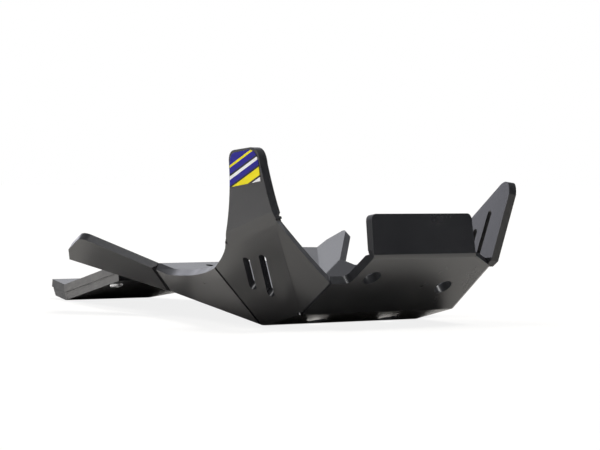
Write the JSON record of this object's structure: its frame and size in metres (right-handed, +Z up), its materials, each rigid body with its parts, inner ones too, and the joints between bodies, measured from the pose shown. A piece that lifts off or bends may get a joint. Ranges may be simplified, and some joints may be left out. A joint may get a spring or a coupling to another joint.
{
  "type": "motorcycle skid plate",
  "caption": "Folded plastic skid plate with a drilled belly and slope, slotted front wings, splayed rear flaps and a tapering linkage guard with a wear pad below it.",
  "frame": {"origin": "middle of the keel fold, the plate's lowest line, at floor level", "axes": "-Y towards the motorcycle's front, +X towards its left side, +Z up"},
  "size_m": [0.3224, 0.5505, 0.1565],
  "materials": {
    "plate_plastic": "satin moulded sheet with cut edges",
    "pad_plastic": "satin moulded sheet with cut edges",
    "screw_steel": "zinc plated",
    "nut_steel": "zinc plated",
    "decal_film": "printed film"
  },
  "bodies": {
    "root": {"main_plate": "plate_plastic", "linkage_pad": "pad_plastic", "pad_screws": "screw_steel", "pad_nuts": "nut_steel", "decal": "decal_film"}
  },
  "joints": []
}
